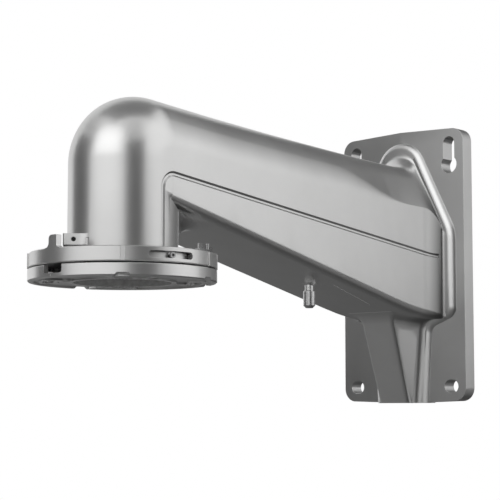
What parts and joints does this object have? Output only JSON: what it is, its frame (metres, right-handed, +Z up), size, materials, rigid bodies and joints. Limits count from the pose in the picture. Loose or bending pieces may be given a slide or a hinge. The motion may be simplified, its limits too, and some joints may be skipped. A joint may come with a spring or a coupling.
{
  "type": "camera wall bracket",
  "caption": "Hollow cast wall arm for a dome camera: a wall plate, a closed arm that bends down, and a bayonet lock ring that holds the camera plate.",
  "frame": {"origin": "middle of the wall plate's back face", "axes": "+Y into the wall, -Y along the arm, +Z up; the plane x = 0 halves the arm and the plate"},
  "size_m": [0.1442, 0.4551, 0.254],
  "materials": {
    "casting_paint": "cast, with a fine metallic grey coat",
    "ring_paint": "cast, with a fine metallic grey coat",
    "plate_paint": "cast, with a fine metallic grey coat",
    "seal_rubber": "matt black",
    "screw_steel": "plain stainless",
    "post_steel": "turned stainless",
    "catch_steel": "pressed sheet steel"
  },
  "bodies": {
    "bracket": {"arm_casting": "casting_paint", "camera_plate": "plate_paint", "seal_ring": "seal_rubber", "guide_screws": "screw_steel", "lock_screw": "screw_steel", "rope_post": "post_steel"},
    "ring": {"lock_ring": "ring_paint", "catch_plate": "catch_steel", "catch_screw": "screw_steel"}
  },
  "joints": [
    {"name": "ring_turn", "type": "hinge", "parent": "bracket", "child": "ring", "pos_m": [0, -0.383, -0.0214], "axis": [0, 0, 1], "range_deg": [-12, 14]}
  ]
}
